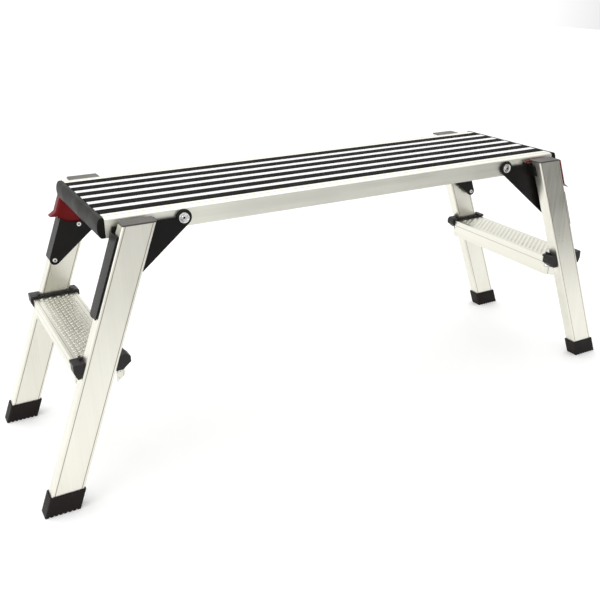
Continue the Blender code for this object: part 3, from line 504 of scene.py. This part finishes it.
def pivot_heads():
    """Dished pivot bolt heads with a socket and a shank, each in a raised black rim."""
    for node in NODES:
        if not node.startswith("pivot_bolt"):
            continue
        side = -1 if "left" in node else 1
        row = -1 if "front" in node else 1
        place = facing(row, (side * PIVOT_X, 0, PIVOT_Z))
        head = above_rail(HEAD)
        shank = [(SHANK_RADIUS, HEAD_UNDER), (SHANK_RADIUS, BOLT_TAIL), (0, BOLT_TAIL)]
        shape = bmesh.new()
        lathe(shape, head, place, HEAD_SIDES, SOCKET_SHADE_FROM)
        lathe(shape, head[:1] + shank, place, HEAD_SIDES)
        bmesh.ops.remove_doubles(shape, verts=shape.verts, dist=WELD_DISTANCE)
        made = new_piece(node + "_turned", shape, (LOOKS["bolt_steel"], HOLE_SHADE),
                         body_of(node))
        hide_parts(node)
        rim = bmesh.new()
        lathe(rim, above_rail(RIM), place, HEAD_SIDES)
        bmesh.ops.remove_doubles(rim, verts=rim.verts, dist=WELD_DISTANCE)
        bracket = node.replace("pivot_bolt", "hinge_bracket")
        new_piece(node + "_rim", rim, (LOOKS["bracket_black"],),
                  body_of(bracket))


BORE_RADIUS = 0.0016
BORE_FLAT_RADIUS = 0.00096
BORE_DEPTH = 0.0007
BORE_SIDES = 20


def rivet_bore_shades():
    """Painted shade for the hollow in the head of each bracket rivet: a dark disc sunk a little below its face."""
    profile = [(0, 0), (BORE_FLAT_RADIUS, 0), (BORE_RADIUS, -BORE_DEPTH / 3)]
    for node in NODES:
        if not node.startswith("rivet"):
            continue
        row = -1 if "front" in node else 1
        low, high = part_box(node)
        middle = (low + high) / 2
        floor = min(abs(low.y), abs(high.y)) + BORE_DEPTH
        shape = bmesh.new()
        lathe(shape, profile, facing(-row, (middle.x, row * floor, middle.z)), BORE_SIDES)
        new_piece(node + "_bore_shade", shape, (HOLE_SHADE,), body_of(node))


DIMPLE_PITCH = 0.0082
DIMPLE_STRIDE = 0.0125
DIMPLE_COLUMNS = 8
DIMPLE_ROWS = 24
DIMPLE_SIDES = 12

# Millimetres above the tread, from the dimple's foot in to its pierced middle, which is a flat disc of painted
# shade.
DIMPLE = [(3.9, 0.02), (3.2, 0.04), (3.0, 0.35), (2.5, 0.85), (2.1, 0.95), (1.7, 0.8),
          (1.45, 0.1), (0, 0.1)]
# From this stretch on, the dimple's middle takes painted shade.
DIMPLE_HOLE_SHADE_FROM = 6


def step_dimples(side, word, body):
    """Raised dimples in staggered rows on a step, each with a dark disc of painted shade for its pierced middle.
    """
    shape = bmesh.new()
    profile = in_metres(DIMPLE)
    for i in range(DIMPLE_COLUMNS):
        for j in range(DIMPLE_ROWS):
            stagger = (i % 2) / 2 - 0.25
            x = side * (STEP_MIDDLE + (i - (DIMPLE_COLUMNS - 1) / 2) * DIMPLE_PITCH)
            y = (j - (DIMPLE_ROWS - 1) / 2 + stagger) * DIMPLE_STRIDE
            place = Matrix.Translation((x, y, STEP_TOP))
            lathe(shape, profile, place, DIMPLE_SIDES, DIMPLE_HOLE_SHADE_FROM)
    new_piece("step_dimples_" + word, shape, (LOOKS["step_aluminium"], HOLE_SHADE),
              body)


STEP_RIVET = [(0, 1.0), (0.9, 0.95), (1.9, 0.6), (2.3, 0.1), (2.3, -0.2)]
STEP_RIVET_SIDES = 16
STEP_RIVET_Y = 0.1545
STEP_RIVET_DROPS = (0.0185, 0.0325)

# The ear at each inner corner of a step runs from the step's inner side to its end. Its
# rivets are given by their share of that run and their drop below the tread.
EAR_START = (STEP_INNER, 0.1646)
EAR_END = (0.5116, STEP_END)
EAR_RIVETS = ((0.28, 0.0310), (0.62, 0.0275), (0.80, 0.0365))


def step_rivets(side, word, body):
    """The rivets in the sides and ears of a step's two ends."""
    shape = bmesh.new()
    profile = in_metres(STEP_RIVET)
    for x, way in ((STEP_INNER, -1), (STEP_OUTER, 1)):
        for drop in STEP_RIVET_DROPS:
            for row in (-1, 1):
                place = Matrix.Translation((side * x, row * STEP_RIVET_Y, STEP_TOP - drop))
                turn = Matrix.Rotation(side * way * math.pi / 2, 4, "Y")
                lathe(shape, profile, place @ turn, STEP_RIVET_SIDES)
    for share, drop in EAR_RIVETS:
        for row in (-1, 1):
            start = Vector((side * EAR_START[X], row * EAR_START[Y], STEP_TOP - drop))
            run = Vector((side * (EAR_END[X] - EAR_START[X]),
                          row * (EAR_END[Y] - EAR_START[Y]), 0))
            out = Vector((-side * abs(run.y), row * abs(run.x), 0)).normalized()
            turn = out.to_track_quat("Z", "Y").to_matrix().to_4x4()
            place = Matrix.Translation(start + run * share)
            lathe(shape, profile, place @ turn, STEP_RIVET_SIDES)
    new_piece("step_rivets_" + word, shape, (LOOKS["rivet_steel"],), body)


def step_details():
    """What is pressed in and riveted to both steps."""
    for side, word in ((-1, "left"), (1, "right")):
        body = body_of("step_" + word)
        step_dimples(side, word, body)
        step_rivets(side, word, body)


# ---------------------------------------------------------------- stage

FLOOR_LOW = (-7.0, -0.85)
FLOOR_HIGH = (9.0, 12.0)
FLOOR_GLOW = 0.16
PAPER_GREY = (0.93, 0.93, 0.93)
PAPER_DARK = (0.92, 0.92, 0.92)
PAPER_LIGHT = (0.95, 0.95, 0.95)


def stage():
    """Pale floor under and behind the bench."""
    mesh = bpy.data.meshes.new("floor")
    made = bpy.data.objects.new("floor", mesh)
    bpy.context.scene.collection.objects.link(made)
    shape = bmesh.new()
    bmesh.ops.create_grid(shape, x_segments=4, y_segments=4, size=0.5)
    size = [high - low for low, high in zip(FLOOR_LOW, FLOOR_HIGH)]
    middle = [(high + low) / 2 for low, high in zip(FLOOR_LOW, FLOOR_HIGH)]
    bmesh.ops.scale(shape, vec=(*size, 1), verts=shape.verts)
    bmesh.ops.translate(shape, vec=(*middle, 0), verts=shape.verts)
    shape.to_mesh(mesh)
    shape.free()
    paper = Shader("floor_paper", PAPER_GREY, roughness=0.9, specular=0.0)
    paper.shader.inputs["Emission Color"].default_value = (1, 1, 1, 1)
    paper.shader.inputs["Emission Strength"].default_value = FLOOR_GLOW
    fibre = paper.noise(paper.place, scale=40.0, detail=3.0)
    paper.colour(paper.mix(paper.spread(fibre, 0.0, 1.0), PAPER_DARK, PAPER_LIGHT))
    mesh.materials.append(paper.material)


def area_light(name, place, target, size, power):
    """Rectangular soft box aimed at a point."""
    data = bpy.data.lights.new(name, "AREA")
    data.shape = "RECTANGLE"
    data.size, data.size_y = size
    data.energy = power
    made = bpy.data.objects.new(name, data)
    bpy.context.scene.collection.objects.link(made)
    made.location = place
    aim = Vector(target) - Vector(place)
    made.rotation_euler = aim.to_track_quat("-Z", "Y").to_euler()


BACK_WHITE = 1.2
FRONT_WHITE = 0.95
BACK_FROM, BACK_TO = -0.6, 0.5
SHADE_SIDE = (0.97, -0.25, -0.10)
SHADE_DEPTH = 0.16
SHADE_FROM, SHADE_TO = 0.40, 0.82


def surroundings():
    """White room, brighter behind the bench, with a dark screen low at the right front."""
    world = bpy.data.worlds.new("studio")
    world.use_nodes = True
    bpy.context.scene.world = world
    nodes, links = world.node_tree.nodes, world.node_tree.links
    direction = nodes.new("ShaderNodeTexCoord").outputs["Generated"]

    def toward(axis, start, end, low, high):
        """Maps how far a direction points along an axis."""
        dot = nodes.new("ShaderNodeVectorMath")
        dot.operation = "DOT_PRODUCT"
        links.new(direction, dot.inputs[0])
        dot.inputs[1].default_value = axis
        spread = nodes.new("ShaderNodeMapRange")
        spread.interpolation_type = "SMOOTHSTEP"
        names = ("From Min", "From Max", "To Min", "To Max")
        for socket, value in zip(names, (start, end, low, high)):
            spread.inputs[socket].default_value = value
        links.new(dot.outputs["Value"], spread.inputs["Value"])
        return spread.outputs["Result"]

    back = toward((0, 1, 0), BACK_FROM, BACK_TO, FRONT_WHITE, BACK_WHITE)
    shade = toward(SHADE_SIDE, SHADE_FROM, SHADE_TO, 1.0, SHADE_DEPTH)
    product = nodes.new("ShaderNodeMath")
    product.operation = "MULTIPLY"
    links.new(back, product.inputs[0])
    links.new(shade, product.inputs[1])
    background = nodes["Background"]
    background.inputs["Color"].default_value = (1, 1, 1, 1)
    links.new(product.outputs["Value"], background.inputs["Strength"])


def lights():
    """A large soft box overhead and a weaker one at the left front."""
    bpy.context.scene.view_settings.view_transform = "Standard"
    area_light("overhead", place=(0.2, 0.3, 2.6), target=(0, 0, 0.4), size=(2.4, 1.6), power=10)
    area_light("left_fill", place=(-2.4, -1.0, 1.4), target=(0, 0, 0.3), size=(1.4, 1.4), power=9)


SENSOR_WIDTH = 36
LENS = 47.53302
CAMERA_SHIFT = (-0.0259, 0.0066)
CAMERA_NEAR = 0.05
CAMERA_PLACE = (-0.8052, -1.3884, 0.8757)
CAMERA_YAW = 29.5226
CAMERA_PITCH = 23.088
CAMERA_ROLL = -0.0451


def camera():
    """Camera at the front left, a little above the deck."""
    data = bpy.data.cameras.new("camera")
    data.sensor_width = SENSOR_WIDTH
    data.lens = LENS
    data.shift_x, data.shift_y = CAMERA_SHIFT
    data.clip_start = CAMERA_NEAR
    made = bpy.data.objects.new("camera", data)
    bpy.context.scene.collection.objects.link(made)
    made.location = CAMERA_PLACE
    turn = Euler((math.radians(90 - CAMERA_PITCH), 0, math.radians(-CAMERA_YAW)), "XYZ")
    roll = Matrix.Rotation(math.radians(CAMERA_ROLL), 3, "Z")
    made.rotation_euler = (turn.to_matrix() @ roll).to_euler()
    bpy.context.scene.camera = made


dress_all()
pivot_heads()
rivet_bore_shades()
step_details()
stage()
surroundings()
lights()
camera()
